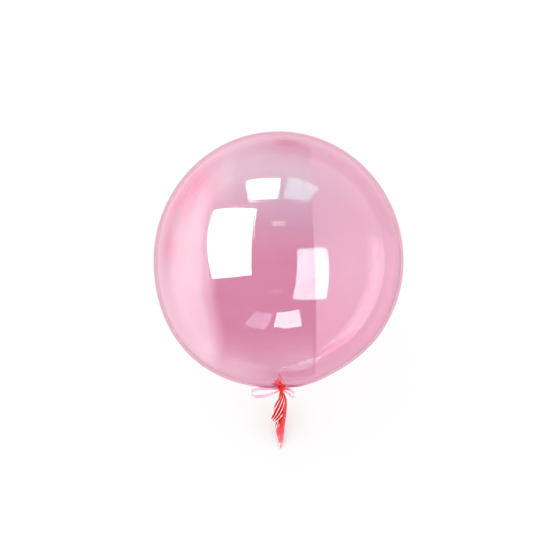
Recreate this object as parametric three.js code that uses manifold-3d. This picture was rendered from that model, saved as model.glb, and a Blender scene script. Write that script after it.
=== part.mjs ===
// A clear bubble balloon: a round bubble of thin stretch film, blown up, gathered into a pleated neck and
// tied with a strip of film ribbon. It lies on the floor on its side and leans on the tip of its tail.
// Millimetres, +Z up. The origin is on the floor, in the middle of the small flat spot it rests on.
import * as THREE from "three";
import { mergeVertices } from "three/addons/utils/BufferGeometryUtils.js";
import Module from "manifold-3d";

// ---- Driving dimensions. The balloon's own axis is Z: crown at +Z, neck and tail at -Z, front at -Y. ----

// Bubble
const BUBBLE_RADIUS = 305; // half of the blown-up width
const CROWN_HEIGHT = 320; // from the widest ring up to the crown
const BASE_DEPTH = 311; // from the widest ring down to the underside
const LOPSIDED = 7; // how much fuller the lower left is than an even bubble
const BUBBLE_SEGMENTS = 72;
const ROUND_RINGS = 26; // rings from the crown to where the pleats begin
const ROUND_END = 162; // degrees from the crown to where the pleats begin
const PLEATED_RINGS = 8;

// Neck: the film is drawn in a little at the tie, and its pleats fan out over the underside
const NECK_RADIUS = 5.5;
const NECK_OFFSET = 7; // the neck sits this far to the right of the middle
const NECK_SPREAD = 150; // film this near to the neck is drawn sideways with it
const NECK_END = 326; // distance of the neck's lower end from the bubble's middle
const DIMPLE_DEPTH = 5;
const DIMPLE_RADIUS = 70;
const PLEATS = 12;
const PLEAT_DEPTH = 9.6;
const PLEAT_START = 12; // the pleats reach their full depth this far outside the neck
const PLEAT_REACH = 110; // and have faded out at this radius

// Tail: a long folded panel that runs to the tip, and a shorter crumpled flap in front of it
const TAIL_START = 320; // both begin inside the neck, this far from the bubble's middle
const TAIL_LENGTH = 132;
const FLAP_LENGTH = 78;

// Ribbon
const TIE_DEPTH = 314; // distance of the tie from the bubble's middle
const RIBBON_WIDTH = 9;
const RIBBON_THICKNESS = 1;
const LOOP_STEPS = 24;
const LEFT_LOOP = 73; // how far the loops reach from the knot
const RIGHT_LOOP = 30;
const LOOP_SLANT = 0.64; // how far the loops tip towards the front, in radians
const WRAP_GAP = 0.6;
const WRAP_HEIGHT = 9;
const WRAP_TURNS = 3;
const WRAP_BULGE = 2.4; // how far a turn stands out, and its share left in the grooves between turns
const WRAP_GROOVE = 0.55;
const WRAP_SEGMENTS = 24;
const KNOT_SIZE = [6, 4.4, 6.6]; // half its width, depth and height
const KNOT_FORWARD = NECK_RADIUS + WRAP_BULGE + 2.4;

// Lying pose
const LEAN = 42.2; // degrees from the floor up to the axis: the tail's tip just clears the floor
const REST_SPOT_DEPTH = 3; // how deep the floor flattens the film

// ---- Materials ----

const filmMaterial = new THREE.MeshStandardMaterial({
  color: 0xf7aecb,
  roughness: 0.04,
  metalness: 0,
  transparent: true,
  opacity: 0.4,
});
const ribbonMaterial = new THREE.MeshStandardMaterial({ color: 0xf6b3cc, roughness: 0.15, metalness: 0 });

// ---- Solids ----

const wasm = await Module();
wasm.setup();

// A closed geometry as a manifold solid, with doubled points merged and collapsed faces dropped.
function toSolid(geometry) {
  const bare = geometry.clone();
  bare.deleteAttribute("normal");
  bare.deleteAttribute("uv");
  const merged = mergeVertices(bare, 1e-3);
  const index = merged.index.array;
  const faces = [];
  for (let i = 0; i < index.length; i += 3) {
    const [a, b, c] = index.slice(i, i + 3);
    if (a !== b && b !== c && c !== a) faces.push(a, b, c);
  }
  const vertProperties = merged.attributes.position.array;
  return new wasm.Manifold(new wasm.Mesh({ numProp: 3, vertProperties, triVerts: new Uint32Array(faces) }));
}

function toGeometry(solid) {
  const { vertProperties, triVerts } = solid.getMesh();
  const geometry = new THREE.BufferGeometry();
  geometry.setAttribute("position", new THREE.BufferAttribute(vertProperties, 3));
  geometry.setIndex(new THREE.BufferAttribute(triVerts, 1));
  return geometry;
}

// A closed slab between two grids of points, outer(u, v) and inner(u, v) for u and v from 0 to 1.
// Seen from outside the outer grid, u runs to the right and v runs up.
function slab(columns, rows, outer, inner) {
  const positions = [];
  const faces = [];
  const stride = columns + 1;
  const side = stride * (rows + 1);
  for (const grid of [outer, inner]) {
    for (let row = 0; row <= rows; row++) {
      for (let column = 0; column <= columns; column++) {
        positions.push(...grid(column / columns, row / rows).toArray());
      }
    }
  }
  const quad = (a, b, c, d) => faces.push(a, b, c, a, c, d);
  for (let row = 0; row < rows; row++) {
    for (let column = 0; column < columns; column++) {
      const corner = row * stride + column;
      quad(corner, corner + 1, corner + stride + 1, corner + stride);
      quad(side + corner, side + corner + stride, side + corner + stride + 1, side + corner + 1);
    }
  }
  const last = rows * stride;
  for (let column = 0; column < columns; column++) {
    quad(column + 1, column, side + column, side + column + 1);
    quad(last + column, last + column + 1, side + last + column + 1, side + last + column);
  }
  for (let row = 0; row < rows; row++) {
    const left = row * stride;
    const right = left + columns;
    quad(left, left + stride, side + left + stride, side + left);
    quad(right + stride, right, side + right, side + right + stride);
  }
  const geometry = new THREE.BufferGeometry();
  geometry.setAttribute("position", new THREE.Float32BufferAttribute(positions, 3));
  geometry.setIndex(faces);
  return geometry;
}

// ---- Bubble and neck ----

// The bubble's profile as a closed line: up the neck, round the bubble and over the crown.
function bubbleProfile() {
  const profile = [];
  for (let ring = 0; ring <= ROUND_RINGS; ring++) {
    const angle = THREE.MathUtils.degToRad((ROUND_END * ring) / ROUND_RINGS);
    const height = angle < Math.PI / 2 ? CROWN_HEIGHT : BASE_DEPTH;
    profile.push(new THREE.Vector2(BUBBLE_RADIUS * Math.sin(angle), height * Math.cos(angle)));
  }
  const pleatedFrom = profile.at(-1).x;
  for (let ring = 1; ring <= PLEATED_RINGS; ring++) {
    const radius = THREE.MathUtils.lerp(pleatedFrom, NECK_RADIUS, ring / PLEATED_RINGS);
    const dimple = DIMPLE_DEPTH * Math.max(0, 1 - radius / DIMPLE_RADIUS) ** 2;
    profile.push(new THREE.Vector2(radius, dimple - BASE_DEPTH * Math.sqrt(1 - (radius / BUBBLE_RADIUS) ** 2)));
  }
  profile.push(new THREE.Vector2(NECK_RADIUS, -NECK_END), new THREE.Vector2(0, -NECK_END));
  return profile.reverse();
}

// Moves one point of the even bubble: the fan of pleats, the fuller lower left and the neck's place.
function settle(point) {
  if (point.z >= 0) return point;
  const radius = Math.hypot(point.x, point.y);
  const outsideNeck = radius - NECK_RADIUS;
  if (outsideNeck > RIBBON_THICKNESS) {
    const turn = Math.atan2(point.x, -point.y);
    const fade = Math.max(0, 1 - radius / PLEAT_REACH) ** 2 * Math.min(1, outsideNeck / PLEAT_START);
    point.z += (PLEAT_DEPTH * fade * (1 - Math.cos(PLEATS * turn))) / 2;
    const lowRound = (2 * point.z * radius) / (BASE_DEPTH * BUBBLE_RADIUS);
    const fuller = -LOPSIDED * (point.x / radius) * lowRound ** 2;
    point.multiplyScalar(1 + fuller / point.length());
  }
  point.x += NECK_OFFSET * Math.max(0, 1 - (radius / NECK_SPREAD) ** 2) ** 2;
  return point;
}

function bubbleGeometry() {
  const geometry = new THREE.LatheGeometry(bubbleProfile(), BUBBLE_SEGMENTS);
  geometry.rotateX(Math.PI / 2);
  const position = geometry.attributes.position;
  const point = new THREE.Vector3();
  for (let i = 0; i < position.count; i++) {
    settle(point.fromBufferAttribute(position, i));
    position.setXYZ(i, point.x, point.y, point.z);
  }
  return geometry;
}

// ---- Tail ----

// A triangle wave of height 1, which starts at 0 and rises.
function zigzag(phase) {
  const cycle = phase - Math.floor(phase + 0.25) + 0.25;
  return 1 - Math.abs(4 * cycle - 2);
}

// An edge of the tail: a smooth curve through a few [distance below the neck, sideways place] stations.
function edgeCurve(stations) {
  const curve = new THREE.CatmullRomCurve3(stations.map(([down, across]) => new THREE.Vector3(across, 0, -down)));
  return (v) => curve.getPoint(v);
}

// A value that changes smoothly from the neck to the end of a panel, through evenly spaced stations.
function graded(stations) {
  const curve = new THREE.CatmullRomCurve3(stations.map((value) => new THREE.Vector3(value, 0, 0)));
  return (v) => curve.getPoint(v).x;
}

// A pleated panel of film that hangs from the neck between two edges.
function pleatedPanel({ left, right, pleats, pleatHeight, forward, thickness, columns, rows }) {
  const leftEdge = edgeCurve(left);
  const rightEdge = edgeCurve(right);
  const heightAt = graded(pleatHeight);
  const forwardAt = graded(forward);
  const thicknessAt = graded(thickness);
  const surface = (sign) => (u, v) => {
    const fromNeck = 1 - v;
    const point = leftEdge(fromNeck).lerp(rightEdge(fromNeck), 1 - u);
    const fold = heightAt(fromNeck) * zigzag(pleats * u) - forwardAt(fromNeck);
    point.y = fold + (sign * thicknessAt(fromNeck)) / 2;
    point.x += NECK_OFFSET;
    point.z -= TAIL_START;
    return point;
  };
  return slab(columns, rows, surface(1), surface(-1));
}

const longPanel = pleatedPanel({
  left: [[0, -4], [16, -12], [66, -15], [88, -16.5], [108, -10], [TAIL_LENGTH, -0.8]],
  right: [[0, 4], [12, 13.5], [42, 12.5], [76, 8.5], [112, 4.6], [TAIL_LENGTH - 1, 0.8]],
  pleats: 2,
  pleatHeight: [1, 4.5, 5, 4, 2.5, 0.4],
  forward: [0, 0, 0, 0],
  thickness: [3.2, 3, 2.2, 1],
  columns: 14,
  rows: 14,
});

const frontFlap = pleatedPanel({
  left: [[0, -4.5], [20, -16], [42, -24], [60, -27.5], [FLAP_LENGTH - 6, -29.5]],
  right: [[0, 3], [18, 5], [38, 3], [FLAP_LENGTH - 12, -5], [FLAP_LENGTH, -14]],
  pleats: 3,
  pleatHeight: [1, 3.2, 4, 4.6],
  forward: [3, 9, 10.5, 8.5],
  thickness: [2.4, 2.4],
  columns: 15,
  rows: 8,
});

// ---- Ribbon ----

// Turns of ribbon round the neck, pressed together into one ring.
function ribbonWrap() {
  const inner = NECK_RADIUS + WRAP_GAP;
  const steps = 3 * WRAP_TURNS;
  const profile = [new THREE.Vector2(inner, WRAP_HEIGHT / 2), new THREE.Vector2(inner, -WRAP_HEIGHT / 2)];
  for (let i = 0; i <= steps; i++) {
    const rounding = Math.abs(Math.sin((Math.PI * WRAP_TURNS * i) / steps));
    const bulge = WRAP_BULGE * THREE.MathUtils.lerp(WRAP_GROOVE, 1, rounding);
    profile.push(new THREE.Vector2(inner + bulge, WRAP_HEIGHT * (i / steps - 0.5)));
  }
  profile.push(profile[0].clone());
  return new THREE.LatheGeometry(profile, WRAP_SEGMENTS).rotateX(Math.PI / 2);
}

function ribbonKnot() {
  return new THREE.SphereGeometry(1, 14, 9).scale(...KNOT_SIZE).translate(0, -KNOT_FORWARD, 0);
}

// One flat loop of ribbon. Its course is given as [outwards, downwards] stations, as shares of its reach.
function ribbonLoop(reach, direction, stations) {
  const down = new THREE.Vector3(0, -Math.sin(LOOP_SLANT), -Math.cos(LOOP_SLANT));
  const across = new THREE.Vector3(0, Math.cos(LOOP_SLANT), -Math.sin(LOOP_SLANT));
  const course = stations.map(([outwards, downwards]) =>
    new THREE.Vector3(direction * outwards * reach, -KNOT_FORWARD, 0).addScaledVector(down, downwards * reach),
  );
  const curve = new THREE.CatmullRomCurve3(course);
  const surface = (sign) => (u, v) => {
    const point = curve.getPointAt(v);
    const normal = new THREE.Vector3().crossVectors(across, curve.getTangentAt(v)).normalize();
    point.addScaledVector(across, RIBBON_WIDTH * (u - 0.5));
    return point.addScaledVector(normal, (sign * RIBBON_THICKNESS) / 2);
  };
  return slab(1, LOOP_STEPS, surface(1), surface(-1));
}

const leftLoop = ribbonLoop(LEFT_LOOP, -1, [
  [0.02, -0.02], [0.3, -0.03], [0.7, -0.04], [0.95, 0.02], [1, 0.12], [0.93, 0.22], [0.62, 0.26], [0.3, 0.16],
  [0.02, 0.03],
]);
const rightLoop = ribbonLoop(RIGHT_LOOP, 1, [
  [0.04, -0.05], [0.4, -0.08], [0.8, 0.04], [1, 0.26], [0.97, 0.5], [0.8, 0.5], [0.5, 0.26], [0.04, 0.08],
]);

// ---- The lying balloon ----

// Where the tilted, slightly lopsided bubble is lowest, from its middle.
const lean = THREE.MathUtils.degToRad(LEAN);
const lowest = Math.hypot(BUBBLE_RADIUS * Math.cos(lean), BASE_DEPTH * Math.sin(lean));
const towardsNeck = ((BASE_DEPTH ** 2 - BUBBLE_RADIUS ** 2) * Math.sin(lean) * Math.cos(lean)) / lowest;
const towardsFullSide = LOPSIDED / Math.cos(lean);

const balloon = new THREE.Group();
balloon.rotation.x = lean - Math.PI / 2;
balloon.position.set(towardsFullSide, towardsNeck, lowest - REST_SPOT_DEPTH);
balloon.updateMatrixWorld();

// The film is laid down before the floor flattens it, so that the flat spot is exactly level.
const floorBlock = new THREE.BoxGeometry(4 * BUBBLE_RADIUS, 4 * BUBBLE_RADIUS, BUBBLE_RADIUS);
floorBlock.translate(0, 0, -BUBBLE_RADIUS / 2);
const lyingFilm = [bubbleGeometry(), longPanel, frontFlap]
  .map((piece) => toSolid(piece.applyMatrix4(balloon.matrixWorld)))
  .reduce((whole, piece) => whole.add(piece))
  .subtract(toSolid(floorBlock));
const film = new THREE.Mesh(toGeometry(lyingFilm), filmMaterial);
film.name = "balloon_film";

const tie = [ribbonWrap(), ribbonKnot(), leftLoop, rightLoop]
  .map(toSolid)
  .reduce((whole, piece) => whole.add(piece));
const ribbon = new THREE.Mesh(toGeometry(tie), ribbonMaterial);
ribbon.name = "tie_ribbon";
ribbon.position.set(NECK_OFFSET, 0, -TIE_DEPTH);
balloon.add(ribbon);

const part = new THREE.Group();
part.add(film, balloon);

export default part;
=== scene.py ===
"""A clear bubble balloon: a round bubble of thin pink stretch film, gathered and tied with ribbon.

It lies on its side on a pale floor, with the tip of its tail just clear of it. Sizes are in metres. The
balloon's own frame has the crown at +Z, the neck and tail at -Z and the front at -Y; LYING turns it onto
the floor.
"""

import math

import bmesh
import bpy
from bpy.props import FloatProperty, FloatVectorProperty, IntProperty, PointerProperty
from mathutils import Matrix, Vector, noise


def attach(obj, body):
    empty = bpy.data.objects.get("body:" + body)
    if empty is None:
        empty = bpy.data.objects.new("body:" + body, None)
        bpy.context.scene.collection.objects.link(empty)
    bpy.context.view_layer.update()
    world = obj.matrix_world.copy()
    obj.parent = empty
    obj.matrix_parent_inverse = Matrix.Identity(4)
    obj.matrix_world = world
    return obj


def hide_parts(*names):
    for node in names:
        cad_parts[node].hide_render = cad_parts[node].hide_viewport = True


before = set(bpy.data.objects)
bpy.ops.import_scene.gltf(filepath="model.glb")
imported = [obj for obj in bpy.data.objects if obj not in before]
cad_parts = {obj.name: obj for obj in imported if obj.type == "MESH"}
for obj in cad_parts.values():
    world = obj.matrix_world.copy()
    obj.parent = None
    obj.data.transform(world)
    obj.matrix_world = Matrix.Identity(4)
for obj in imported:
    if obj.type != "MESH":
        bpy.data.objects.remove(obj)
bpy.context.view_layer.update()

bl_info = {
    "name": "Clear bubble balloon",
    "version": (1, 0, 0),
    "blender": (4, 5, 0),
    "location": "View3D > Sidebar > Balloon",
    "description": "Builds a clear pink bubble balloon with a gathered red tail and a ribbon bow",
    "category": "Add Mesh",
}

MM = 0.001
FILM_NODE = "balloon_film"
RIBBON_NODE = "tie_ribbon"
BODY = "root"

# The lying pose: the axis rises from the floor by LEAN, with the neck in front, and the underside, which is
# nearly an ellipse, sinks in by REST_DEPTH. The origin is in the middle of the spot that it rests on.
LEAN = math.radians(42.2)
FULL_RADIUS = 305 * MM
FULL_BASE = 311 * MM
REST_DEPTH = 3 * MM
MIDDLE_ACROSS = 9.45 * MM
LOWEST = math.hypot(FULL_RADIUS * math.cos(LEAN), FULL_BASE * math.sin(LEAN))
TOWARDS_NECK = (FULL_BASE**2 - FULL_RADIUS**2) * math.sin(LEAN) * math.cos(LEAN) / LOWEST
BUBBLE_MIDDLE = Vector((MIDDLE_ACROSS, TOWARDS_NECK, LOWEST - REST_DEPTH))
LYING_TURN = (LEAN - math.pi / 2, 0, 0)
LYING = Matrix.Translation(BUBBLE_MIDDLE) @ Matrix.Rotation(LYING_TURN[0], 4, "X")
SKIN_LIFT = 1 * MM  # the film lies this much higher
FLOOR_GAP = 0.2 * MM  # and its flattened underside is this far off the floor

# The lower half is this much fuller on the left and tighter on the right, less a little at the right's waist
FULLER_SIDE = 8.1 * MM
FULLER_RIGHT = 6.4 * MM

# Places along the balloon's axis, below the bubble's middle, and how far the neck sits to the right
NECK_OFFSET = 7 * MM
NECK_RADIUS = 5 * MM
TIE_DEPTH = 314 * MM
TAIL_START = 320 * MM
NECK_END = 325 * MM

# The camera, and the studio's dim front behind it, are this high above the floor
FRONT_HEIGHT = math.radians(47.8)


# ---- Settings that a user can change ----


def length_setting(name, description, default, **limits):
    return FloatProperty(name=name, description=description, default=default, unit="LENGTH", **limits)


def colour_setting(name, description, default):
    return FloatVectorProperty(
        name=name, description=description, default=default, subtype="COLOR", size=3, min=0, max=1
    )


class BubbleSettings(bpy.types.PropertyGroup):
    radius: length_setting("Radius", "Half of the blown-up width", 304.2 * MM, min=0.05)
    crown_height: length_setting("Crown height", "From the widest ring up to the crown", 315 * MM)
    base_depth: length_setting("Base depth", "From the widest ring down to the underside", 310.7 * MM)
    film_thickness: length_setting("Film thickness", "Thickness of the stretched film", 0.5 * MM)
    pleats: IntProperty(name="Pleats", description="Pleats that fan out from the neck", default=24, min=3)
    pleat_depth: length_setting("Pleat depth", "Depth of the pleats beside the neck", 6 * MM)
    pleat_reach: length_setting("Pleat reach", "Radius at which the pleats have faded out", 110 * MM)
    tint: colour_setting("Film tint", "Colour of light that has passed one wall", (0.838, 0.515, 0.65))
    deep_tint: colour_setting("Deep tint", "Colour where the film is thicker", (0.85, 0.34, 0.50))


class TailSettings(bpy.types.PropertyGroup):
    film_thickness: length_setting("Film thickness", "Thickness of the slack film", 0.5 * MM)
    colour: colour_setting("Gathered colour", "Colour of many layers of slack film", (0.99, 0.018, 0.022))
    # The crease colour is painted shade: the darker red that the folds' valleys take
    crease_shade_colour: colour_setting("Crease shade colour", "Colour deep in the creases", (0.50, 0.003, 0.03))
    thin_colour: colour_setting("Thin colour", "Colour where one or two layers remain", (0.98, 0.22, 0.30))


class RibbonSettings(bpy.types.PropertyGroup):
    width: length_setting("Width", "Width of the ribbon", 8.6 * MM)
    thickness: length_setting("Thickness", "Thickness of the ribbon film", 0.5 * MM)
    turns: IntProperty(name="Turns", description="Turns of ribbon round the neck", default=3, min=1)
    left_loop: length_setting("Left loop", "Reach of the left loop from the knot", 72.6 * MM)
    right_loop: length_setting("Right loop", "Reach of the right loop from the knot", 29.8 * MM)
    colour: colour_setting("Ribbon colour", "Colour of one layer of the ribbon", (0.97, 0.62, 0.78))


class StageSettings(bpy.types.PropertyGroup):
    camera_height: FloatProperty(
        name="Camera elevation", description="Angle of the camera above the floor", default=FRONT_HEIGHT,
        subtype="ANGLE",
    )
    camera_distance: length_setting("Camera distance", "From the camera to the bubble's middle", 2.03)
    floor_size: length_setting("Floor size", "Side of the floor", 60)
    window_glow: FloatProperty(name="Window glow", description="Brightness of the softboxes", default=11)


class BalloonSettings(bpy.types.PropertyGroup):
    bubble: PointerProperty(type=BubbleSettings)
    tail: PointerProperty(type=TailSettings)
    ribbon: PointerProperty(type=RibbonSettings)
    stage: PointerProperty(type=StageSettings)


# ---- Arithmetic in node trees ----


class Field:
    """A value in a node tree that plain arithmetic can be written on. Each step adds one Math node."""

    def __init__(self, tree, socket):
        self.tree = tree
        self.socket = socket

    def step(self, operation, *others):
        node = wired(self.tree, "ShaderNodeMath", self, *others, operation=operation)
        return Field(self.tree, node.outputs[0])

    def __add__(self, other):
        return self.step("ADD", other)

    def __sub__(self, other):
        return self.step("SUBTRACT", other)

    def __mul__(self, other):
        return self.step("MULTIPLY", other)

    def __truediv__(self, other):
        return self.step("DIVIDE", other)

    def __pow__(self, other):
        return self.step("POWER", other)

    def less_from(self, whole):
        return (self * -1.0) + whole

    def sine(self):
        return self.step("SINE")

    def cosine(self):
        return self.step("COSINE")

    def at_least(self, low):
        return self.step("MAXIMUM", low)

    def at_most(self, high):
        return self.step("MINIMUM", high)

    def below(self, limit):
        return self.step("LESS_THAN", limit)

    def root(self):
        return self.step("SQRT")

    def ramp(self, start, end):
        """0 up to start, 1 from end on, and a straight slope between them."""
        return ((self - start) / (end - start)).at_least(0.0).at_most(1.0)

    def band(self, start, full, fading, end):
        """1 from full to fading, and 0 beyond start and end."""
        return self.ramp(start, full) * self.ramp(end, fading)

    def faded(self, share, where):
        """Less by a share of itself where a mask is 1."""
        return self * (where * -share + 1.0)


def connect(tree, value, place):
    """Links a Field or a socket to an input, or sets a plain value on it."""
    if isinstance(value, Field):
        tree.links.new(value.socket, place)
    elif isinstance(value, bpy.types.NodeSocket):
        tree.links.new(value, place)
    else:
        place.default_value = value


def add_node(tree, kind, settings=None, **values):
    """A new node; keywords are its inputs by name, with _ for a space."""
    node = tree.nodes.new(kind)
    for name, value in (settings or {}).items():
        setattr(node, name, value)
    for name, value in values.items():
        connect(tree, value, node.inputs[name.replace("_", " ")])
    return node


def wired(tree, kind, *values, **settings):
    """A new node with its inputs given in order; keywords are its settings."""
    node = add_node(tree, kind, settings)
    for place, value in zip(node.inputs, values):
        connect(tree, value, place)
    return node


def split(tree, vector):
    return [Field(tree, socket) for socket in wired(tree, "ShaderNodeSeparateXYZ", vector).outputs]


def joined(tree, x, y, z):
    return wired(tree, "ShaderNodeCombineXYZ", x, y, z).outputs[0]


def own_position(tree):
    return split(tree, wired(tree, "GeometryNodeInputPosition").outputs[0])


# ---- Geometry node trees ----


def new_object(name, data):
    """A new object, linked into the scene."""
    made = bpy.data.objects.new(name, data)
    bpy.context.scene.collection.objects.link(made)
    return made


def add_sockets(tree, in_out, sockets):
    """Gives a group its inputs or outputs, listed by kind."""
    for kind, labels in sockets.items():
        for label in labels:
            tree.interface.new_socket(label, in_out=in_out, socket_type="NodeSocket" + kind)


def new_geometry_tree(name, inputs):
    """An empty tree. Returns the tree, its inputs as fields by name, and its output node."""
    tree = bpy.data.node_groups.new(name, "GeometryNodeTree")
    add_sockets(tree, "OUTPUT", {"Geometry": ["Geometry"]})
    add_sockets(tree, "INPUT", inputs)
    given = tree.nodes.new("NodeGroupInput")
    fields = {socket.name: Field(tree, socket) for socket in given.outputs if socket.name}
    return tree, fields, tree.nodes.new("NodeGroupOutput")


def finish_tree(tree, geometry, material, out):
    smooth = add_node(tree, "GeometryNodeSetShadeSmooth", Geometry=geometry)
    coated = add_node(tree, "GeometryNodeSetMaterial", Geometry=smooth.outputs[0], Material=material)
    tree.links.new(coated.outputs[0], out.inputs[0])


def run_tree(holder, tree, values):
    """Gives an object the tree with its named values, and returns the result as a plain mesh."""
    modifier = holder.modifiers.new(tree.name, "NODES")
    modifier.node_group = tree
    for socket in tree.interface.items_tree:
        if socket.in_out == "INPUT" and socket.name in values:
            modifier[socket.identifier] = values[socket.name]
    return finished_mesh(holder)


def finished_mesh(holder):
    """The object's evaluated mesh, with the object and its modifiers cleared away."""
    bpy.context.view_layer.update()
    evaluated = holder.evaluated_get(bpy.context.evaluated_depsgraph_get())
    mesh = bpy.data.meshes.new_from_object(evaluated)
    old = holder.data
    bpy.data.objects.remove(holder)
    if isinstance(old, bpy.types.Mesh) and old.users == 0:
        bpy.data.meshes.remove(old)
    return mesh


BUBBLE_INPUTS = {
    "Float": (
        "Radius", "Crown Height", "Base Depth", "Neck Radius", "Neck End", "Neck Offset", "Neck Spread",
        "Dimple Depth", "Dimple Radius", "Pleat Depth", "Pleat Start", "Pleat Reach", "Fuller Side",
        "Fuller Right", "Floor Gap",
    ),
    "Int": ("Pleats", "Segments", "Rings"),
    "Vector": ("Lying Place",),
    "Rotation": ("Lying Turn",),
    "Material": ("Material",),
}
NECK_FROM = 0.95  # the share of the rings that lie above the neck
CROWDING = 1.4  # how much closer together the rings lie towards the neck, where 1 is even


def bubble_tree():
    """One wall of the bubble with its neck: a grid whose width runs round the axis and height down it."""
    tree, given, out = new_geometry_tree("blown_bubble", BUBBLE_INPUTS)
    grid = add_node(
        tree, "GeometryNodeMeshGrid", Size_X=1, Size_Y=1, Vertices_X=given["Segments"] + 1,
        Vertices_Y=given["Rings"] + 1,
    )
    across, down, _ = own_position(tree)
    turn = (across + 0.5) * (2 * math.pi)
    course = down.less_from(0.5)

    # Rings lie closer together towards the neck; the last few go down the neck itself
    round_course = course.ramp(0.0, NECK_FROM)
    neck_course = course.ramp(NECK_FROM, 1.0)
    end_angle = (given["Neck Radius"] / given["Radius"]).step("ARCSINE").less_from(math.pi)
    angle = end_angle * (round_course.less_from(1.0) ** CROWDING).less_from(1.0)
    radius = given["Radius"] * angle.sine()
    upper = angle.below(math.pi / 2)
    lower = upper.less_from(1.0)
    height = angle.cosine() * (given["Crown Height"] * upper + given["Base Depth"] * lower)
    dimple = (radius / given["Dimple Radius"]).less_from(1.0).at_least(0.0) ** 2
    height = height + given["Dimple Depth"] * dimple * lower

    # The fan of pleats, none quite like the next
    inside_reach = (radius / given["Pleat Reach"]).less_from(1.0).at_least(0.0) ** 2
    off_neck = ((radius - given["Neck Radius"]) / given["Pleat Start"]).at_least(0.0).at_most(1.0)
    wander = (turn * 3 + 0.7).sine() * 0.8 + (turn * 5 + 2.1).sine() * 0.5
    fold = ((given["Pleats"] * turn + wander).cosine()).less_from(1.0) / 2
    fold = fold * (((turn * 7 + 1.3).sine() * 0.3) + 0.7)
    height = height + given["Pleat Depth"] * inside_reach * off_neck * fold * lower
    height = height * (neck_course.less_from(1.0)) - given["Neck End"] * neck_course

    # The fuller lower left, the tighter lower right, and the neck drawn a little to the right
    length = (radius * radius + height * height).root()
    low_round = (height * radius * 2) / (given["Base Depth"] * given["Radius"])
    side = turn.sine()
    right_waist = (side.at_least(0.0) ** 2) * (radius / given["Radius"]).ramp(0.45, 0.8)
    tighter = given["Fuller Side"] * side - given["Fuller Right"] * right_waist
    tighter = tighter * (low_round**2) * lower / length
    scale = tighter.less_from(1.0)
    near_neck = ((radius / given["Neck Spread"]) ** 2).less_from(1.0).at_least(0.0) ** 2
    x = radius * side * scale + given["Neck Offset"] * near_neck * lower
    y = radius * turn.cosine() * scale * -1.0
    shaped = add_node(
        tree, "GeometryNodeSetPosition", Geometry=grid.outputs["Mesh"],
        Position=joined(tree, x, y, height * scale),
    )
    sealed = add_node(tree, "GeometryNodeMergeByDistance", Geometry=shaped.outputs[0], Distance=0.02 * MM)
    laid = add_node(
        tree, "GeometryNodeTransform", Geometry=sealed.outputs[0], Translation=given["Lying Place"],
        Rotation=given["Lying Turn"],
    )
    x, y, z = own_position(tree)
    rested = add_node(
        tree, "GeometryNodeSetPosition", Geometry=laid.outputs[0],
        Position=joined(tree, x, y, z.at_least(given["Floor Gap"])),
    )
    finish_tree(tree, rested.outputs[0], given["Material"], out)
    return tree


RIBBON_INPUTS = {
    "Geometry": ("Geometry",),
    "Float": ("Width", "Thickness", "Cupping"),
    "Int": ("Steps",),
    "Material": ("Material",),
}


def ribbon_tree():
    """Sweeps a flat, slightly cupped strip of film along the curve that it is given."""
    tree, given, out = new_geometry_tree("ribbon_strip", RIBBON_INPUTS)
    even = add_node(tree, "GeometryNodeResampleCurve", Curve=given["Geometry"], Count=given["Steps"])
    strip = add_node(tree, "GeometryNodeCurvePrimitiveCircle", Resolution=16, Radius=1.0)
    x, y, _ = own_position(tree)
    cup = (x * x).less_from(1.0) * given["Cupping"]
    flat = add_node(
        tree, "GeometryNodeSetPosition", Geometry=strip.outputs[0],
        Position=joined(tree, x * given["Width"] / 2, y * given["Thickness"] / 2 + cup, 0.0),
    )
    swept = add_node(
        tree, "GeometryNodeCurveToMesh", Curve=even.outputs[0], Profile_Curve=flat.outputs[0], Fill_Caps=True
    )
    finish_tree(tree, swept.outputs[0], given["Material"], out)
    return tree


# ---- Meshes ----


def new_piece(name, mesh, node, material=None):
    """A finished piece that rides on the balloon and stands in for one of its plain solids."""
    mesh.name = name
    point_outwards(mesh)
    piece = new_object(name, mesh)
    if material:
        mesh.materials.clear()
        mesh.materials.append(material)
    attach(piece, BODY)
    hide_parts(node)
    return piece


def point_outwards(mesh):
    """Merges doubled points and turns a closed mesh's faces outwards."""
    shape = bmesh.new()
    shape.from_mesh(mesh)
    bmesh.ops.remove_doubles(shape, verts=shape.verts, dist=0.001 * MM)
    bmesh.ops.recalc_face_normals(shape, faces=shape.faces)
    if shape.calc_volume(signed=True) < 0:
        bmesh.ops.reverse_faces(shape, faces=shape.faces)
    for face in shape.faces:
        face.smooth = True
    shape.to_mesh(mesh)
    shape.free()


def sheet_mesh(name, place, columns, rows):
    """A grid of points place(u, v), for u and v from 0 to 1, as a mesh with one face to each cell."""
    points = [place(i / columns, j / rows) for j in range(rows + 1) for i in range(columns + 1)]
    stride = columns + 1
    faces = [
        (j * stride + i, j * stride + i + 1, (j + 1) * stride + i + 1, (j + 1) * stride + i)
        for j in range(rows)
        for i in range(columns)
    ]
    mesh = bpy.data.meshes.new(name)
    mesh.from_pydata(points, [], faces)
    return mesh


def thicken(mesh, thickness, offset=0.0):
    """Gives an open sheet of film its thickness, with its edges closed."""
    holder = new_object("film", mesh)
    wall = holder.modifiers.new("Wall", "SOLIDIFY")
    wall.thickness = thickness
    wall.offset = offset
    wall.use_rim = True
    return finished_mesh(holder)


def through(stations, share):
    """A smooth curve through evenly spaced values or vectors, at a share of its length."""
    at = min(max(share, 0.0), 1.0) * (len(stations) - 1)
    i = min(int(at), len(stations) - 2)
    t = at - i
    p1, p2 = stations[i], stations[i + 1]
    p0 = stations[i - 1] if i > 0 else p1 * 2 - p2
    p3 = stations[i + 2] if i + 2 < len(stations) else p2 * 2 - p1
    return ((p1 * 2) + (p2 - p0) * t + (p0 * 2 - p1 * 5 + p2 * 4 - p3) * t**2
            + (p1 * 3 - p0 - p2 * 3 + p3) * t**3) * 0.5


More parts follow.
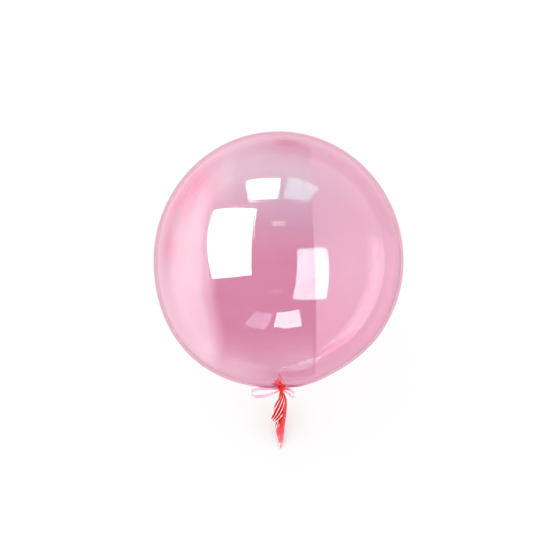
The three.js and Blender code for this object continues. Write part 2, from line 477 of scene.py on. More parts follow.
# ---- Materials ----

FILM_IOR = 1.5
FILM_ROUGHNESS = 0.012
FAINT_CRUMPLE = 0.004
ROUNDING = 1.15  # how much of its height over a sphere the bump takes off the film
OUTLINE_FROM = 0.74  # how far edge on the film is where its plain outline begins, and where it is full
OUTLINE_FULL = 0.82

# Colours of the film and the ribbon beside the tints in the settings
# The next colour is painted shade: a greyer pink laid on the film's upper front
PAINTED_SHADE_PINK = (0.755, 0.485, 0.62, 1)
DRAWN_PINK = (0.98, 0.29, 0.46, 1)
SPOT_PINK = (0.80, 0.33, 0.48, 1)
NECK_RED = (0.97, 0.05, 0.07, 1)
LAMP_TINT = (0.97, 0.90, 0.93, 1)
OUTLINE_PINK = (0.945, 0.825, 0.862, 1)
# The next colour is a painted glint on the folds' crests, and also the pale thin film at the lower ends
GLINT_AND_THIN_PINK = (1.0, 0.90, 0.96, 1)
INNER_RED = (0.80, 0.08, 0.32, 1)
RIBBON_EDGE_PINK = (0.80, 0.26, 0.55, 1)
KNOT_RED = (0.98, 0.02, 0.02, 1)


def new_material(name):
    material = bpy.data.materials.new(name)
    material.use_nodes = True
    tree = material.node_tree
    tree.nodes.clear()
    output = tree.nodes.new("ShaderNodeOutputMaterial")
    return material, tree, output


def balloon_place(tree):
    """Object coordinates, turned and centred into the balloon's own frame."""
    turned = add_node(
        tree, "ShaderNodeMapping", {"vector_type": "TEXTURE"},
        Vector=wired(tree, "ShaderNodeTexCoord").outputs["Object"], Location=BUBBLE_MIDDLE,
        Rotation=LYING_TURN,
    )
    return turned.outputs[0]


def stored(tree, name):
    """A value stored on the mesh's points."""
    return Field(tree, wired(tree, "ShaderNodeAttribute", attribute_name=name).outputs["Fac"])


def noise_field(tree, place, **values):
    """Noise from 0 to 1 at a place; keywords are the texture's other inputs."""
    return Field(tree, add_node(tree, "ShaderNodeTexNoise", Vector=place, **values).outputs[0])


def vector_math(tree, operation, *values):
    """One step of vector arithmetic: a dot product as a field, or a vector."""
    node = wired(tree, "ShaderNodeVectorMath", *values, operation=operation)
    return Field(tree, node.outputs["Value"]) if operation == "DOT_PRODUCT" else node.outputs[0]


def bumped(tree, height, strength, distance, **others):
    node = add_node(tree, "ShaderNodeBump", Height=height, Strength=strength, Distance=distance, **others)
    return node.outputs[0]


def mixed_shader(tree, share, first, second):
    return wired(tree, "ShaderNodeMixShader", share, first, second).outputs[0]


def blended(tree, share, first, second):
    """The first colour where share is 0 and the second where it is 1."""
    node = wired(tree, "ShaderNodeMix", share, data_type="RGBA")
    connect(tree, first, node.inputs[6])
    connect(tree, second, node.inputs[7])
    return node.outputs[2]


def film_detail_group():
    """Stretch bands, drawn streaks and fine wrinkles of thin film, as masks that the materials share."""
    name = "stretched_film_detail"
    if name in bpy.data.node_groups:
        return bpy.data.node_groups[name]
    tree = bpy.data.node_groups.new(name, "ShaderNodeTree")
    add_sockets(tree, "INPUT", {"Vector": ["Place"], "Float": ["Streak Scale", "Wrinkle Scale"]})
    add_sockets(tree, "OUTPUT", {"Float": ["Streaks", "Bands", "Wrinkles"]})
    given = tree.nodes.new("NodeGroupInput")
    out = tree.nodes.new("NodeGroupOutput")
    x, y, z = split(tree, given.outputs["Place"])
    streaked = noise_field(
        tree, joined(tree, x * 0.25, y * 0.25, z), Scale=given.outputs["Streak Scale"], Detail=4.0,
        Roughness=0.6, Distortion=0.4,
    )
    banded = noise_field(tree, joined(tree, x, y, z * 0.4), Scale=2.6, Detail=2.0, Roughness=0.5)
    wrinkled = noise_field(
        tree, given.outputs["Place"], Scale=given.outputs["Wrinkle Scale"], Detail=5.0, Roughness=0.55,
        Distortion=0.8,
    )
    for name, field in (("Streaks", streaked), ("Bands", banded), ("Wrinkles", wrinkled)):
        connect(tree, field.ramp(0.35, 0.65), out.inputs[name])
    return tree


def film_detail(tree, streak_scale, wrinkle_scale):
    node = add_node(
        tree, "ShaderNodeGroup", {"node_tree": film_detail_group()}, Place=balloon_place(tree),
        Streak_Scale=streak_scale, Wrinkle_Scale=wrinkle_scale,
    )
    return {socket.name: Field(tree, socket) for socket in node.outputs}


def bubble_film_colour(tree, settings, detail, place, regions):
    """Pale pink, with deeper pinks in some regions, a greyer patch of painted shade and red at the neck."""
    x, y, z = place
    crown, thick_neck = regions

    # Red at the neck, a pinker spot near the crown, and a greyer patch of painted shade across the upper
    # front
    front = y.below(0.0)
    to_neck = (((x - NECK_OFFSET) ** 2) + y * y).root()
    red_neck = to_neck.ramp(24 * MM, 6 * MM) * z.below(0.0)
    to_spot = (((x - 20 * MM) ** 2) + ((z - 270 * MM) ** 2) * 6.0).root()
    spot = to_spot.ramp(34 * MM, 18 * MM) * front
    painted_shade = x.ramp(-60 * MM, 0) * x.ramp(170 * MM, 90 * MM)
    painted_shade = painted_shade * z.band(15 * MM, 70 * MM, 165 * MM, 225 * MM) * front

    # Film pulled into fine pink streaks at the upper left
    drawn = y.band(-225 * MM, -185 * MM, -130 * MM, -95 * MM) * x.ramp(0, -110 * MM)
    drawn = drawn * z.band(-30 * MM, 50 * MM, 200 * MM, 275 * MM)
    stretched = joined(tree, x * 7.0, y * 60.0, z * 9.0)
    pulled = noise_field(tree, stretched, Scale=1.0, Detail=3.0, Roughness=0.6, Distortion=0.3)
    pulled = pulled.ramp(0.45, 0.58)

    thicker = detail["Streaks"] * 0.12 + detail["Bands"] * 0.14 + crown * 0.15 + spot * 0.25
    thicker = thicker + thick_neck * (detail["Streaks"] * 0.5 + 0.3)
    pink = blended(tree, thicker.at_most(1.0), (*settings.tint, 1), (*settings.deep_tint, 1))
    pink = blended(tree, painted_shade * 0.9, pink, PAINTED_SHADE_PINK)
    pink = blended(tree, drawn * (pulled * 0.75 + 0.05), pink, DRAWN_PINK)
    pink = blended(tree, spot * (pulled * 0.4 + 0.5), pink, SPOT_PINK)
    return blended(tree, red_neck**1.5, pink, NECK_RED)


def bubble_film_normal(tree, settings, place, crumpled):
    """Bump that has the upper half mirror as if it were truly round, and crumples the film a little."""
    x, y, z = place
    position = wired(tree, "ShaderNodeTexCoord").outputs["Object"]
    from_middle = vector_math(tree, "SUBTRACT", position, BUBBLE_MIDDLE)
    normal = wired(tree, "ShaderNodeNewGeometry").outputs["Normal"]
    outer_side = vector_math(tree, "DOT_PRODUCT", from_middle, normal).below(0.0) * -2.0 + 1.0
    over_sphere = (x * x + y * y + z * z).root() - settings.radius
    rounded = bumped(tree, over_sphere * z.ramp(0.0, 60 * MM) * outer_side * -1.0, 1.0, ROUNDING)
    return bumped(tree, crumpled, 0.25, 1.2 * MM, Normal=rounded)


def bubble_film_material(settings):
    """Clear, glossy, pink stretch film: pinker where it is thicker, at the crown and round the neck."""
    material, tree, output = new_material("stretched_pink_film")
    detail = film_detail(tree, 9.0, 30.0)
    place = x, y, z = split(tree, balloon_place(tree))
    off_axis = (((x - NECK_OFFSET) ** 2) + y * y).root()
    crown = off_axis.ramp(60 * MM, 25 * MM) * z.ramp(0.0, 0.1)
    thick_neck = off_axis.ramp(130 * MM, 8 * MM) * z.below(0.0)
    crumpled = detail["Wrinkles"] * (crown * 0.5 + thick_neck * 0.5 + FAINT_CRUMPLE)
    film = add_node(
        tree, "ShaderNodeBsdfPrincipled", Roughness=FILM_ROUGHNESS, IOR=FILM_IOR, Transmission_Weight=1.0,
        Base_Color=bubble_film_colour(tree, settings, detail, place, (crown, thick_neck)),
        Normal=bubble_film_normal(tree, settings, place, crumpled),
    )
    for_lamps = add_node(tree, "ShaderNodeBsdfTransparent", Color=LAMP_TINT)
    shadow_ray = wired(tree, "ShaderNodeLightPath").outputs["Is Shadow Ray"]
    either = mixed_shader(tree, shadow_ray, film.outputs[0], for_lamps.outputs[0])
    # Seen edge on, the film is a pink line that mirrors nothing, so the outline always shows
    edge_on = Field(tree, add_node(tree, "ShaderNodeLayerWeight", Blend=0.5).outputs["Facing"])
    line = add_node(tree, "ShaderNodeBsdfTransparent", Color=OUTLINE_PINK)
    outlined = mixed_shader(tree, edge_on.ramp(OUTLINE_FROM, OUTLINE_FULL), either, line.outputs[0])
    connect(tree, outlined, output.inputs[0])
    return material


def gathered_film_material(settings):
    """Slack film gathered into folds: many layers look deep red and pinker at the tip, with painted shade in
    the creases and painted glints on the crests.
    """
    material, tree, output = new_material("gathered_red_film")
    detail = film_detail(tree, 30.0, 90.0)
    _, _, z = split(tree, balloon_place(tree))
    fold = stored(tree, "fold_depth")
    single = stored(tree, "single_layer")
    at_tip = z.ramp(-400 * MM, -455 * MM)
    inner = z.ramp(-306 * MM, -280 * MM)
    # Painted shade: the creases' valleys darken towards the crease colour
    creased = (fold * 0.85 + detail["Wrinkles"] * 0.15).at_least(0.0).at_most(1.0)
    thin = (at_tip * 0.8 + detail["Streaks"] * 0.10).at_most(1.0)
    red = blended(tree, creased, (*settings.colour, 1), (*settings.crease_shade_colour, 1))
    pale = blended(tree, thin, red, (*settings.thin_colour, 1))
    # Painted glints: the crests turn near white; the paler lower ends are thinner film
    pale = blended(tree, (single**0.6) * 0.97, pale, GLINT_AND_THIN_PINK)
    colour = blended(tree, inner, pale, INNER_RED)
    crumple = bumped(tree, detail["Wrinkles"], 0.3, 0.7 * MM)
    rough = detail["Streaks"] * 0.10 + 0.16
    coat = single * 0.5 + fold * 0.2 + 0.05
    shader = add_node(
        tree, "ShaderNodeBsdfPrincipled", Base_Color=colour, Roughness=rough, IOR=FILM_IOR,
        Transmission_Weight=0.2, Specular_IOR_Level=0.15, Coat_Weight=coat, Coat_Roughness=0.05,
        Coat_IOR=1.6, Normal=crumple,
    )
    tree.links.new(shader.outputs[0], output.inputs[0])
    return material


def ribbon_film_material(settings, name, tied=False):
    """A strip of the same film: pale and clear in one layer, red where it is drawn tight at the knot."""
    material, tree, output = new_material(name)
    detail = film_detail(tree, 45.0, 120.0)
    x, _, z = split(tree, balloon_place(tree))
    to_knot = (((x - NECK_OFFSET) ** 2) + (z + TIE_DEPTH) ** 2).root()
    tight = to_knot.ramp(23 * MM, 9 * MM)
    # Deeper pink along the strip's edges and round each loop's turned end
    deeper_pink = (stored(tree, "edge") * 0.7 + detail["Streaks"] * 0.25).at_most(1.0)
    pink = blended(tree, deeper_pink, (*settings.colour, 1), RIBBON_EDGE_PINK)
    colour = blended(tree, 1.0 if tied else tight, pink, KNOT_RED)
    crumple = bumped(tree, detail["Wrinkles"], 0.2, 0.4 * MM)
    shader = add_node(
        tree, "ShaderNodeBsdfPrincipled", Base_Color=colour, Roughness=detail["Streaks"] * 0.1 + 0.12,
        IOR=FILM_IOR, Transmission_Weight=0.0 if tied else 0.55, Specular_IOR_Level=0.08 if tied else 0.5,
        Coat_Weight=0.06 if tied else 0.6, Coat_Roughness=0.06, Normal=crumple,
    )
    tree.links.new(shader.outputs[0], output.inputs[0])
    return material


def mirror_ray(tree):
    """1 for a ray that has just been mirrored off something, 0 for one that came straight or through it."""
    path = wired(tree, "ShaderNodeLightPath")
    through = Field(tree, path.outputs["Is Transmission Ray"])
    return through.less_from(1.0) * path.outputs["Is Glossy Ray"]


# ---- Operators ----


class BALLOON_OT_make_bubble(bpy.types.Operator):
    """Makes the blown-up bubble with its pleated neck, as a thin wall of clear film"""

    bl_idname = "balloon.make_bubble"
    bl_label = "Make bubble"

    def execute(self, context):
        sizes = context.scene.bubble_balloon.bubble
        material = bubble_film_material(sizes)
        holder = new_object("bubble", bpy.data.meshes.new("bubble"))
        values = {
            "Radius": sizes.radius, "Crown Height": sizes.crown_height, "Base Depth": sizes.base_depth,
            "Neck Radius": NECK_RADIUS, "Neck End": NECK_END, "Neck Offset": NECK_OFFSET,
            "Neck Spread": 150 * MM, "Dimple Depth": 5 * MM, "Dimple Radius": 70 * MM,
            "Pleats": sizes.pleats, "Pleat Depth": sizes.pleat_depth, "Pleat Start": 12 * MM,
            "Pleat Reach": sizes.pleat_reach, "Fuller Side": FULLER_SIDE, "Fuller Right": FULLER_RIGHT,
            "Segments": 216, "Rings": 120, "Lying Place": BUBBLE_MIDDLE + Vector((0, 0, SKIN_LIFT)),
            "Lying Turn": LYING_TURN, "Floor Gap": FLOOR_GAP, "Material": material,
        }
        skin = run_tree(holder, bubble_tree(), values)
        point_outwards(skin)
        wall = thicken(skin, sizes.film_thickness, offset=-1.0)
        bubble = new_piece("bubble", wall, FILM_NODE, material)
        bubble.visible_diffuse = False  # the floor under clear film is lit as if it were open
        return {"FINISHED"}


# The tail's edges, from the neck down: [distance below its start, place across], in millimetres
LONG_PANEL_LEFT = [(0, -4), (20, -8), (60, -10), (85, -10), (99, -13), (118, -8.5), (139.8, -2.4)]
LONG_PANEL_RIGHT = [
    (0, 4), (11, 9.8), (26, 13.7), (50, 12.8), (75, 9.8), (99, 6.7), (120, 4.4), (139.3, -1.4),
]
FLAP_LEFT = [(0, -4), (9.5, -5.5), (23, -11.6), (40, -18.3), (56.7, -21.4), (70.5, -28)]
FLAP_RIGHT = [(0, 3), (11, 7.5), (29, 7.3), (47.6, 6.1), (62.8, -0.9), (76, -10)]
SLIVER_LEFT = [(56, -14), (75, -15.5), (92, -17)]
SLIVER_RIGHT = [(56, -4), (75, -8), (91, -15.2)]

# The folds: how far they wander, in folds, how sharp they are, how bright the painted glint on a crest is,
# and how ruffled in mm
FOLD_WANDER = 0.06
FOLD_SHARPNESS = 0.75
CREST_GLINT = 14
RUFFLE_DEPTH = 0.8


def edge_curve(stations, share):
    return through([Vector((across, 0, -down)) for down, across in stations], share)


def folded(phase, sharpness):
    """One fold per whole number: a broad rounded crest with a sharp valley at each end."""
    return abs(math.sin(math.pi * phase)) ** sharpness


def film_sheet(name, place, size, thickness, **masks):
    """A sheet of film with its thickness, and masks stored on its points in the order that place fills."""
    mesh = sheet_mesh(name, place, *size)
    for mask, values in masks.items():
        layer = mesh.attributes.new(mask, "FLOAT", "POINT")
        for i, value in enumerate(values):
            layer.data[i].value = min(1.0, max(0.0, value))
    return thicken(mesh, thickness)


def film_panel(name, edges, folds, fold_height, forward, size, shades, thickness):
    """A hanging panel of folded film between two edges, stored with its fold depth, which paints shade into
    the creases, and its pale marks: painted glints on the crests and a thinner, paler lower end.

    folds is how many folds lie across it, how far they slant over its length, and where the first starts.
    fold_height and forward are stations from the top down, in millimetres. size is its columns and rows.
    shades is a seed, the height on a crest from which a painted glint shows, and how pale the lower end is.
    """
    left, right = edges
    across, slant, start = folds
    seed, glint_from, pale_end = shades
    depths = []
    single = []

    def place(u, v):
        point = edge_curve(left, v).lerp(edge_curve(right, v), u)
        phase = across * (u + slant * v) + start
        crest = folded(phase + FOLD_WANDER * math.sin(7 * v + seed), FOLD_SHARPNESS)
        ruffle = noise.noise(Vector((u * 5 + seed, v * 9, seed))) * min(1.0, 4 * v)
        # The fold depth paints shade into each fold's valley, in the material
        depths.append((1 - crest) ** 1.3)
        # Pale film on a crest is a painted glint, where the softboxes would catch the fold; the pale lower
        # end is thinner film
        crest_glint = max(0.0, crest - glint_from) * CREST_GLINT
        patchy = 0.75 + 0.9 * noise.noise(Vector((u * 4 - seed, v * 5, seed)))
        below_top = min(1.0, max(0.0, 8 * v - 1.5))
        single.append(crest_glint * patchy * below_top + pale_end * max(0.0, (v - 0.90) * 6))
        height = through(fold_height, v)
        point.y = -through(forward, v) - height * (crest - 0.5) * 2 - RUFFLE_DEPTH * ruffle
        point.x += NECK_OFFSET / MM
        point.z -= TAIL_START / MM
        return LYING @ (point * MM)

    return film_sheet(name, place, size, thickness, fold_depth=depths, single_layer=single)


# The tail's panels, with what film_panel takes for each
PANELS = (
    (
        "tail_panel", (LONG_PANEL_LEFT, LONG_PANEL_RIGHT), (0.96, 0.0, 0.02),
        [1.0, 2.8, 3.2, 2.4, 1.4, 0.3], [0.0, 0.0, 0.0, 1.5, 10.5], (60, 120), (2.0, 1.0, 0.3),
    ),
    (
        "tail_flap", (FLAP_LEFT, FLAP_RIGHT), (3.1, 0.9, -1.61), [1.0, 2.4, 2.8, 2.8],
        [3.0, 8.0, 9.5, 8.5], (110, 120), (5.0, 0.94, 1.0),
    ),
    (
        "tail_sliver", (SLIVER_LEFT, SLIVER_RIGHT), (1.3, 0.2, 0.1), [0.8, 1.2, 0.5],
        [5.5, 5.5, 5.0], (30, 50), (8.0, 0.80, 1.0),
    ),
)


class BALLOON_OT_make_tail(bpy.types.Operator):
    """Makes the gathered tail: a long folded panel to the tip, and a creased flap and a sliver in front"""

    bl_idname = "balloon.make_tail"
    bl_label = "Make tail"

    def execute(self, context):
        settings = context.scene.bubble_balloon.tail
        material = gathered_film_material(settings)
        for name, *shape in PANELS:
            panel = film_panel(name, *shape, settings.film_thickness)
            new_piece(name, panel, FILM_NODE, material)
        return {"FINISHED"}


# The inner flap's outline above the tie: [height, left, right], in millimetres
INNER_FLAP = [
    (2, -8, 8), (7, -14, 10.5), (12, -20.5, 9.5), (16.5, -24, 7.5), (20, -17.5, 5.5), (25.6, -12, 2.5),
    (32, -9.5, -2.5), (38.5, -7.4, -6.2),
]


class BALLOON_OT_make_inner_flap(bpy.types.Operator):
    """Makes the crumpled end of film that stands up inside the bubble from the tie"""

    bl_idname = "balloon.make_inner_flap"
    bl_label = "Make inner flap"

    def execute(self, context):
        settings = context.scene.bubble_balloon.tail
        material = gathered_film_material(settings)
        heights, lefts, rights = zip(*INNER_FLAP)
        depths = []
        single = []

        def place(u, v):
            # A painted glint: a pale streak across the lower part of the flap
            fold_glint = max(0.0, 1 - ((v - 0.42 - 0.15 * u) / 0.045) ** 2)
            single.append(fold_glint * max(0.0, min(1.0, 3 - 5 * u)))
            left = through(lefts, v)
            right = through(rights, v)
            crest = folded(2.5 * u + 0.3 * math.sin(5 * v), 0.8)
            spread = math.sin(math.pi * min(1.0, v * 1.1 + 0.05))
            # The fold depth paints shade into the valleys, in the material
            depths.append(0.5 * (1 - crest) ** 2)
            x = left + (right - left) * u + NECK_OFFSET / MM
            y = -3.5 * crest * spread + 1.5
            z = through(heights, v) - TIE_DEPTH / MM
            return LYING @ (Vector((x, y, z)) * MM)

        thickness = settings.film_thickness
        flap = film_sheet("inner_flap", place, (48, 48), thickness, fold_depth=depths, single_layer=single)
        new_piece("inner_flap", flap, FILM_NODE, material)
        return {"FINISHED"}


# The course of each loop from the knot: [outwards, downwards], as shares of its reach
LEFT_COURSE = [
    (0.02, -0.02), (0.3, -0.03), (0.7, -0.03), (0.95, 0.06), (1, 0.20), (0.93, 0.34), (0.62, 0.34),
    (0.3, 0.20), (0.02, 0.04),
]
RIGHT_COURSE = [
    (0.04, -0.05), (0.4, -0.06), (0.8, 0.14), (1, 0.46), (0.99, 0.84), (0.84, 0.80), (0.5, 0.42),
    (0.04, 0.10),
]
LOOP_SLANT = 0.98  # how far the loops stand out from the neck towards the front, in radians
LOOP_CUP = 0.9 * MM
KNOT_FORWARD = 10.3 * MM
KNOT_POINTS = 96
TURN_POINTS = 40
COIL_HEIGHT = 5.4 * MM
COIL_RADIUS = 7.2 * MM
COIL_WAVER = 0.5 * MM


def curve_holder(name, points):
    """An open curve through points, for a tree to sweep a strip along."""
    data = bpy.data.curves.new(name, "CURVE")
    data.dimensions = "3D"
    data.twist_mode = "MINIMUM"
    spline = data.splines.new("POLY")
    spline.points.add(len(points) - 1)
    for knot, point in zip(spline.points, points):
        knot.co = (*point, 1)
    return new_object(name, data)


def loop_strip(reach, direction, stations, width, thickness):
    """One loop of the bow, as a sheet that follows its course with its width lying across."""
    down = Vector((0, -math.sin(LOOP_SLANT), -math.cos(LOOP_SLANT)))
    across = Vector((0, math.cos(LOOP_SLANT), -math.sin(LOOP_SLANT)))
    course = [
        Vector((direction * out * reach, -KNOT_FORWARD, 0)) + down * (drop * reach) for out, drop in stations
    ]
    edges = []

    def place(u, v):
        point = through(course, v)
        pinch = min(1.0, 0.35 + 3.2 * min(v, 1 - v))
        side = (u - 0.5) * width * pinch
        cup = LOOP_CUP * (1 - (2 * u - 1) ** 2) * math.sin(math.pi * v)
        turned = max(0.0, 1 - ((v - 0.5) / 0.12) ** 2)
        edges.append(max(abs(2 * u - 1) ** 4, 0.9 * turned))
        point = point + across * side - down * cup * (1 if v < 0.5 else -1)
        return LYING @ (point + Vector((NECK_OFFSET, 0, -TIE_DEPTH)))

    return film_sheet("ribbon_loop", place, (12, 96), thickness, edge=edges)


def coil_points(turns):
    """The course of the ribbon round the neck, over the tie."""
    steps = TURN_POINTS * turns
    coil = []
    for i in range(steps + 1):
        turn = 2 * math.pi * turns * i / steps
        height = COIL_HEIGHT * (i / steps - 0.5)
        radius = COIL_RADIUS + COIL_WAVER * math.sin(2.3 * turn)
        x = NECK_OFFSET + radius * math.sin(turn)
        coil.append(LYING @ Vector((x, -radius * math.cos(turn), height - TIE_DEPTH)))
    return coil


def knot_points():
    """The course of the ribbon through the knot, a trefoil in front of the tie."""
    knot = []
    for i in range(KNOT_POINTS + 1):
        t = 2 * math.pi * i / KNOT_POINTS
        x = NECK_OFFSET / MM + 3.0 * math.sin(t) + 3.2 * math.sin(2 * t)
        y = -KNOT_FORWARD / MM - 0.6 + 2.2 * math.sin(3 * t)
        z = -TIE_DEPTH / MM + 3.8 * math.cos(t) - 2.2 * math.cos(2 * t)
        knot.append(LYING @ (Vector((x, y, z)) * MM))
    return knot


class BALLOON_OT_make_ribbon(bpy.types.Operator):
    """Makes the ribbon: turns wound round the neck, the knot in front and its two loops"""

    bl_idname = "balloon.make_ribbon"
    bl_label = "Make ribbon"

    def execute(self, context):
        sizes = context.scene.bubble_balloon.ribbon
        pale = ribbon_film_material(sizes, "pale_ribbon_film")
        tied = ribbon_film_material(sizes, "tight_ribbon_film", tied=True)
        for name, reach, direction, course in (
            ("ribbon_left_loop", sizes.left_loop, -1, LEFT_COURSE),
            ("ribbon_right_loop", sizes.right_loop, 1, RIGHT_COURSE),
        ):
            strip = loop_strip(reach, direction, course, sizes.width, sizes.thickness)
            new_piece(name, strip, RIBBON_NODE, pale)

        tree = ribbon_tree()
        values = {
            "Width": 4.2 * MM, "Thickness": 1.0 * MM, "Cupping": 0.35 * MM, "Steps": 160, "Material": tied,
        }
        coiled = run_tree(curve_holder("coil", coil_points(sizes.turns)), tree, values)
        new_piece("ribbon_turns", coiled, RIBBON_NODE)
        values.update({"Width": 5.6 * MM, "Thickness": 1.6 * MM, "Steps": 120})
        tangle = run_tree(curve_holder("knot", knot_points()), tree, values)
        new_piece("ribbon_knot", tangle, RIBBON_NODE)
        return {"FINISHED"}


# ---- Stage ----

# Softboxes, measured from the bubble's middle: name, middle, directions of the rightward and upward edges,
# width and height, and brightness as shares of the window glow, on the film and through the film
SOFTBOXES = [
    (
        "left_window", (-0.773, -0.386, 0.879), (0.84, -0.32, 0.44), (0.10, 0.89, 0.44), (0.83, 1.17),
        1.0, (1.4, 6.2, 3.2),
    ),
    (
        "overhead_left", (-0.45, 0.82, 2.22), (0.99, -0.03, 0.12), (0.11, 0.74, -0.66), (0.93, 0.90),
        0.7, (0.6, 3.6, 1.9),
    ),
    (
        "overhead_right", (0.61, 0.76, 2.14), (0.98, -0.02, 0.17), (0.15, 0.61, -0.77), (0.86, 0.93),
        0.02, (0.2, 0.9, 0.6),
    ),
    (
        "small_lamp", (0.0, -0.38, 1.92), (1.0, 0.0, 0.0), (0.0, 0.95, 0.3), (0.35, 0.11),
        0.27, (0.1, 0.4, 0.2),
    ),
]
POWER_PER_AREA = 4  # of an area light, for a brightness of 1
LAMPS_APART = 1.01  # the lamps seen through the film stand just behind the ones mirrored on it
KEY_ENERGY = 0.6
KEY_SPREAD = math.radians(60)
KEY_TURN = (math.radians(-12), math.radians(-18), 0)
LENS = 53
SENSOR_WIDTH = 36
NUDGE_DOWN = math.radians(-1.28)
NUDGE_RIGHT = math.radians(-0.10)
FLOOR_GREY = (0.86, 0.86, 0.86, 1)

# Colours of the room's walls, as the film mirrors them
SIDE_WALL = (0.80, 1.0, 0.95, 1)
CEILING = (0.36, 1.0, 0.90, 1)
RIGHT_WALL = (0.82, 1.0, 0.98, 1)
RIGHT_WALL_LOW = (1.0, 0.78, 0.84, 1)
LEFT_CORNER = (1.0, 0.68, 0.70, 1)
CRESCENT = (1.0, 0.25, 0.40, 1)
BACK_WALL = (1.0, 0.78, 0.88, 1)
LIT_BACK_WALL = (0.7, 1.0, 0.95, 1)


def area_light(name, matrix, size, radiance):
    data = bpy.data.lights.new(name, "AREA")
    data.shape = "RECTANGLE"
    data.size, data.size_y = size
    data.energy = radiance * data.size * data.size_y * POWER_PER_AREA
    light = new_object(name, data)
    light.matrix_world = matrix
    return light


def facing_matrix(middle, rightward, upward):
    """A light at middle from the bubble, with its face square to its two edges and turned to the bubble."""
    x = Vector(rightward).normalized()
    z = x.cross(Vector(upward)).normalized()
    if z.dot(middle) < 0:
        x, z = -x, -z
    y = z.cross(x)
    turn = Matrix((x, y, z)).transposed().to_4x4()
    return Matrix.Translation(BUBBLE_MIDDLE + middle) @ turn


def mirrored_walls(across, up):
    """The room as the film mirrors it: colours and strengths, placed by where a round bubble shows them.

    across and up are 0 in the middle of the bubble and 1 at its rim, as seen from the front.
    """
    from_front = (across * across + up * up).root()
    behind = from_front.ramp(0.80, 0.95)
    near = behind.less_from(1.0)

    left_corner = up.ramp(0.15, 0.55) * across.ramp(-0.30, -0.60)
    left_corner = left_corner.faded(0.6, from_front.ramp(0.70, 0.88))
    belly = up.band(-0.95, -0.6, -0.5, -0.25)
    left = (across - belly * 0.08).ramp(-0.46, -0.60)
    left = left.faded(0.8, up.ramp(0.2, 0.6)).faded(0.45, up.ramp(-0.1, -0.7))
    left = left.faded(0.8, from_front.ramp(0.69, 0.88) * (up.ramp(-0.5, 0.1) * 0.7 + 0.3))

    slanted = across + up * 0.045
    edge = slanted.ramp(0.264, 0.282)
    right = edge.faded(0.45, from_front.ramp(0.55, 0.90)).faded(0.3, up.ramp(-0.05, 0.35))
    right = right.faded(0.2, from_front.ramp(0.81, 0.822))
    lower = up.ramp(0.1, -0.7)
    top = (up.ramp(0.0, 0.62) ** 1.2) * across.ramp(-0.62, -0.40)
    top = top.faded(0.45, from_front.ramp(0.70, 0.88) * (across.ramp(-0.25, 0.05) + 1.0))
    top = top.faded(0.75, edge)
    bottom = up.ramp(-0.50, -0.80) * across.ramp(0.10, -0.30)
    lower_pane = up.band(-0.86, -0.74, -0.70, -0.50) * across.ramp(-0.12, 0.12) * slanted.ramp(0.28, 0.235)

    # A bright crescent inside the lower right rim, and its fainter echo
    lower_right = up.ramp(0.2, 0.1)
    narrowing = across.ramp(0.58, 0.34)
    crescent = (from_front - narrowing * 0.07).ramp(0.715, 0.728)
    crescent = crescent * (from_front + narrowing * 0.01).ramp(0.822, 0.812)
    crescent = crescent * across.ramp(0.33, 0.37) * lower_right
    echo = from_front.band(0.862, 0.872, 0.905, 0.925) * across.ramp(0.50, 0.70) * lower_right

    lit = (up * 0.5 - across.at_most(0.0) * 0.9 + 0.1).at_least(0.0)
    limb = from_front.ramp(0.93, 0.985) * -0.8 + 0.85
    return (
        (SIDE_WALL, (left * 8.0 + bottom * 3.0 + lower_pane * 1.9 + 0.3) * near),
        (CEILING, top * 5.0 * near),
        (RIGHT_WALL, right * lower.less_from(1.0) * 5.2 * near),
        (RIGHT_WALL_LOW, right * lower * 3.9 * near),
        (LEFT_CORNER, left_corner * 5.5 * near),
        (CRESCENT, crescent * 1.6 + echo * 0.4),
        (BACK_WALL, behind),
        (LIT_BACK_WALL, behind * lit * limb),
    )


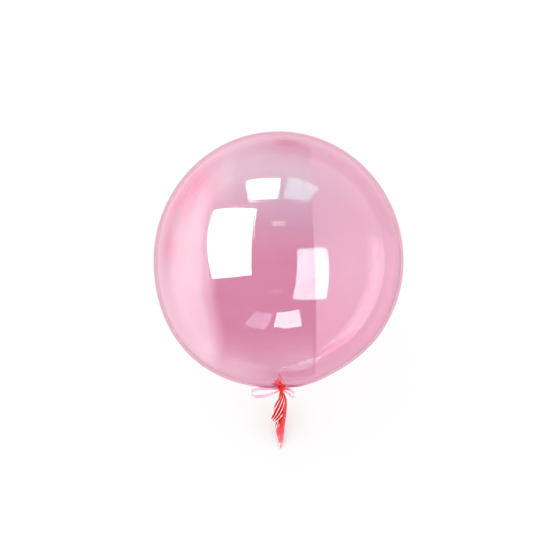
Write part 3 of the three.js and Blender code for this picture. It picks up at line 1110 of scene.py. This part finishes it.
class BALLOON_OT_set_stage(bpy.types.Operator):
    """Lays the pale floor, sets the studio lights and the camera"""

    bl_idname = "balloon.set_stage"
    bl_label = "Set stage"

    def execute(self, context):
        scene = context.scene
        sizes = scene.bubble_balloon.stage
        scene.view_settings.view_transform = "Standard"
        self.lay_floor(sizes.floor_size)
        self.set_world(scene)
        for name, middle, rightward, upward, size, on_film, through_film in SOFTBOXES:
            for kind, colour, apart in (("gloss", (on_film,) * 3, 1.0), ("clear", through_film, LAMPS_APART)):
                place = facing_matrix(Vector(middle) * apart, rightward, upward)
                share = max(colour)
                glow = area_light(f"{name}_{kind}", place, size, sizes.window_glow * share)
                glow.data.color = [part / share for part in colour]
                glow.visible_camera = glow.visible_diffuse = False
                glow.visible_glossy = kind == "gloss"
                glow.visible_transmission = kind == "clear"
        sun = bpy.data.lights.new("soft_key", "SUN")
        sun.energy = KEY_ENERGY
        sun.angle = KEY_SPREAD
        key = new_object("soft_key", sun)
        key.rotation_euler = KEY_TURN
        key.visible_glossy = key.visible_transmission = False
        self.set_camera(scene, sizes)
        return {"FINISHED"}

    def lay_floor(self, size):
        mesh = sheet_mesh("floor", lambda u, v: ((u - 0.5) * size, (v - 0.5) * size, 0), 1, 1)
        floor = new_object("floor", mesh)
        material, tree, output = new_material("pale_floor")
        shader = add_node(
            tree, "ShaderNodeBsdfPrincipled", Base_Color=FLOOR_GREY, Roughness=0.9, Specular_IOR_Level=0.0,
        )
        # Gloss on the film shows the studio's walls and not the floor
        opening = wired(tree, "ShaderNodeBsdfTransparent")
        either = mixed_shader(tree, mirror_ray(tree), shader.outputs[0], opening.outputs[0])
        connect(tree, either, output.inputs[0])
        mesh.materials.append(material)

    def set_world(self, scene):
        """A white room; in gloss it shows pale walls at the sides and above, and a dim front."""
        world = bpy.data.worlds.new("studio")
        scene.world = world
        world.use_nodes = True
        tree = world.node_tree
        tree.nodes.clear()
        # Halfway between the mirrored ray and the front lies the film's normal, on a round bubble
        direction = wired(tree, "ShaderNodeTexCoord").outputs["Generated"]
        front = (0, -math.cos(FRONT_HEIGHT), math.sin(FRONT_HEIGHT))
        upward = (0, math.sin(FRONT_HEIGHT), math.cos(FRONT_HEIGHT))
        halfway = vector_math(tree, "NORMALIZE", vector_math(tree, "ADD", direction, front))
        across = split(tree, halfway)[0]
        up = vector_math(tree, "DOT_PRODUCT", halfway, upward)
        mirrored = None
        for colour, strength in mirrored_walls(across, up):
            wall = add_node(tree, "ShaderNodeBackground", Color=colour, Strength=strength).outputs[0]
            if mirrored:
                wall = wired(tree, "ShaderNodeAddShader", mirrored, wall).outputs[0]
            mirrored = wall
        seen = add_node(tree, "ShaderNodeBackground", Color=(1, 1, 1, 1), Strength=1.0)
        output = tree.nodes.new("ShaderNodeOutputWorld")
        both = mixed_shader(tree, mirror_ray(tree), seen.outputs[0], mirrored)
        connect(tree, both, output.inputs[0])

    def set_camera(self, scene, sizes):
        elevation = sizes.camera_height
        back = Vector((0, -math.cos(elevation), math.sin(elevation)))
        data = bpy.data.cameras.new("camera")
        data.lens = LENS
        data.sensor_width = SENSOR_WIDTH
        camera = new_object("camera", data)
        place = Matrix.Translation(BUBBLE_MIDDLE + back * sizes.camera_distance)
        aim = (-back).to_track_quat("-Z", "Y").to_matrix().to_4x4()
        # Turned a little down and right, so that the whole balloon sits in the middle of the view
        nudge = Matrix.Rotation(NUDGE_DOWN, 4, "X") @ Matrix.Rotation(NUDGE_RIGHT, 4, "Y")
        camera.matrix_world = place @ aim @ nudge
        scene.camera = camera


class BALLOON_PT_balloon(bpy.types.Panel):
    """Lists the steps that build the balloon"""

    bl_idname = "BALLOON_PT_balloon"
    bl_label = "Bubble balloon"
    bl_space_type = "VIEW_3D"
    bl_region_type = "UI"
    bl_category = "Balloon"

    def draw(self, context):
        settings = context.scene.bubble_balloon
        for group in (settings.bubble, settings.tail, settings.ribbon, settings.stage):
            box = self.layout.box()
            for name in group.bl_rna.properties.keys():
                if name not in ("rna_type", "name"):
                    box.prop(group, name)
        for operator in STEPS:
            self.layout.operator(operator.bl_idname)


STEPS = (
    BALLOON_OT_make_bubble,
    BALLOON_OT_make_tail,
    BALLOON_OT_make_inner_flap,
    BALLOON_OT_make_ribbon,
    BALLOON_OT_set_stage,
)
CLASSES = (
    BubbleSettings, TailSettings, RibbonSettings, StageSettings, BalloonSettings, *STEPS, BALLOON_PT_balloon,
)


def register():
    for kind in CLASSES:
        bpy.utils.register_class(kind)
    bpy.types.Scene.bubble_balloon = PointerProperty(type=BalloonSettings)


def unregister():
    del bpy.types.Scene.bubble_balloon
    for kind in reversed(CLASSES):
        bpy.utils.unregister_class(kind)


def main():
    register()
    bpy.ops.balloon.make_bubble()
    bpy.ops.balloon.make_tail()
    bpy.ops.balloon.make_inner_flap()
    bpy.ops.balloon.make_ribbon()
    bpy.ops.balloon.set_stage()


if __name__ == "__main__":
    main()
